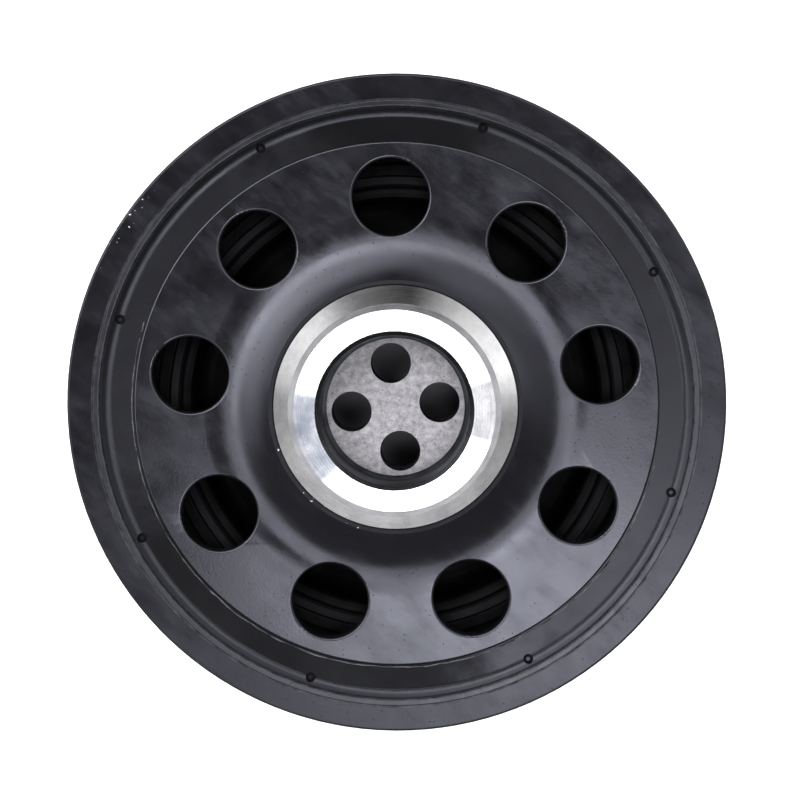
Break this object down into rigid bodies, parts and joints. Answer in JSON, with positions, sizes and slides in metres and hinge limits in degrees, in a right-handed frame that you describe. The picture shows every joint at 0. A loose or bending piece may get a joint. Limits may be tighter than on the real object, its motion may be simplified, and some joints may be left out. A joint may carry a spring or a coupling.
{
  "type": "crankshaft pulley",
  "caption": "Decoupled crankshaft pulley: turned hub nose with spigot recess, perforated pressed dish, bonded rubber coupling, ribbed belt rim and inner torsional damper ring.",
  "frame": {"origin": "on the shaft axis at the belt-side end face, which the pulley rests on", "axes": "+Z along the shaft axis from the belt side to the crankshaft nose, +Y up in the picture"},
  "size_m": [0.18, 0.18, 0.047],
  "materials": {
    "turned_steel": "turned bright, lightly stained",
    "dish_coating": "satin black dip coating, scuffed",
    "coupling_rubber": "moulded, dull sheen",
    "sleeve_steel": "satin black dip coating",
    "rim_coating": "satin black dip coating, scuffed",
    "slide_polymer": "turned, unpolished",
    "ring_iron": "turned grey iron",
    "damper_rubber": "moulded, matt"
  },
  "bodies": {
    "hub": {"hub": "turned_steel", "carrier_dish": "dish_coating", "decoupling_rubber": "coupling_rubber", "damper_rubber": "damper_rubber"},
    "rim": {"belt_rim": "rim_coating", "coupling_sleeve": "sleeve_steel", "radial_bush": "slide_polymer", "thrust_ring": "slide_polymer"},
    "inertia": {"inertia_ring": "ring_iron"}
  },
  "joints": [
    {"name": "rim_windup", "type": "hinge", "parent": "hub", "child": "rim", "pos_m": [0, 0, 0], "axis": [0, 0, 1], "range_deg": [-8, 8], "stiffness_Nm_per_rad": 700},
    {"name": "damper_twist", "type": "hinge", "parent": "hub", "child": "inertia", "pos_m": [0, 0, 0], "axis": [0, 0, 1], "range_deg": [-1, 1], "stiffness_Nm_per_rad": 80}
  ]
}
